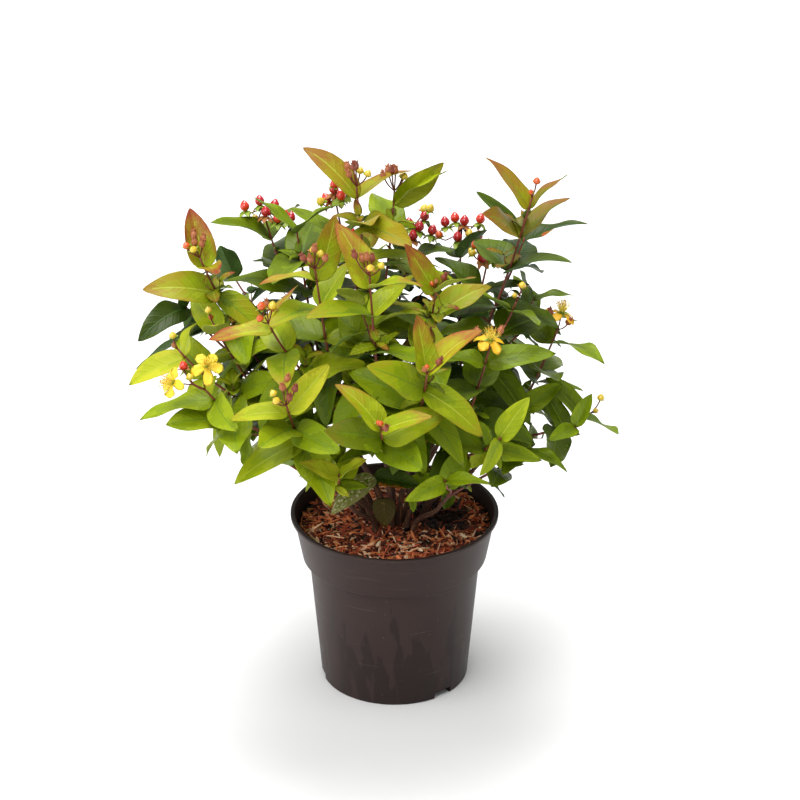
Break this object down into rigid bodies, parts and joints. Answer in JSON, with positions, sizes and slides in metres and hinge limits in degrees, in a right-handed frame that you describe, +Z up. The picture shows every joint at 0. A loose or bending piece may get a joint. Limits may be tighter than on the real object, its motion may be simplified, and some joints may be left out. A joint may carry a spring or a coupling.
{
  "type": "potted st johns wort",
  "caption": "Bushy flowering shrub with paired lime-green leaves, red berries and yellow flowers, in a round bark-mulched nursery pot.",
  "frame": {"origin": "centre of the pot's flat underside, which stands on the ground", "axes": "+Z up the plant; -Y towards the viewer of the picture; +X to the viewer's right"},
  "size_m": [0.4359, 0.4015, 0.5154],
  "materials": {
    "pot_plastic": "satin, injection moulded, scuffed",
    "bark_mulch": "rough, loose chipped bark over potting mix",
    "woody_stem": "matt, thin reddish brown bark",
    "foliage": "satin living leaves, with berries, buds and flowers"
  },
  "bodies": {
    "root": {"pot": "pot_plastic", "potting_mix": "bark_mulch", "stem_crown_top": "woody_stem", "stem_upper_front_left": "woody_stem", "stem_upper_left": "woody_stem", "stem_left": "woody_stem", "stem_lower_front_left": "woody_stem", "stem_front": "woody_stem", "stem_front_right": "woody_stem", "stem_right_front": "woody_stem", "stem_upper_right": "woody_stem", "stem_right": "woody_stem", "stem_back_left": "woody_stem", "stem_back": "woody_stem", "stem_back_right": "woody_stem", "stem_low_front_left": "woody_stem", "stem_low_front_right": "woody_stem", "stem_low_back": "woody_stem", "stem_low_left": "woody_stem", "stem_low_right": "woody_stem", "foliage_crown_top": "foliage", "foliage_upper_front_left": "foliage", "foliage_upper_left": "foliage", "foliage_left": "foliage", "foliage_lower_front_left": "foliage", "foliage_front": "foliage", "foliage_front_right": "foliage", "foliage_right_front": "foliage", "foliage_upper_right": "foliage", "foliage_right": "foliage", "foliage_back_left": "foliage", "foliage_back": "foliage", "foliage_back_right": "foliage", "foliage_low_front_left": "foliage", "foliage_low_front_right": "foliage", "foliage_low_back": "foliage", "foliage_low_left": "foliage", "foliage_low_right": "foliage"}
  },
  "joints": []
}
